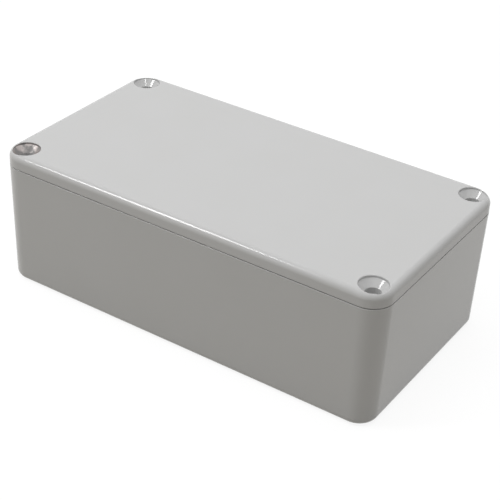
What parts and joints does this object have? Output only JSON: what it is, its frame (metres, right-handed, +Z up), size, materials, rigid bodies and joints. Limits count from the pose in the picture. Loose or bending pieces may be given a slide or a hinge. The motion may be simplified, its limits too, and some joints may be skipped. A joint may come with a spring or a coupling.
{
  "type": "die cast aluminium box",
  "caption": "Rectangular die cast aluminium instrument box with drafted walls, inner corner posts and a lapped lid with countersunk screw corners.",
  "frame": {"origin": "middle of the flat underside", "axes": "+X along the box's length, +Y across its width, +Z up through the lid"},
  "size_m": [0.112, 0.0604, 0.038],
  "materials": {
    "grey_enamel": "light grey enamel baked over cast aluminium, semi-gloss"
  },
  "bodies": {
    "root": {"base": "grey_enamel", "lid": "grey_enamel"}
  },
  "joints": []
}
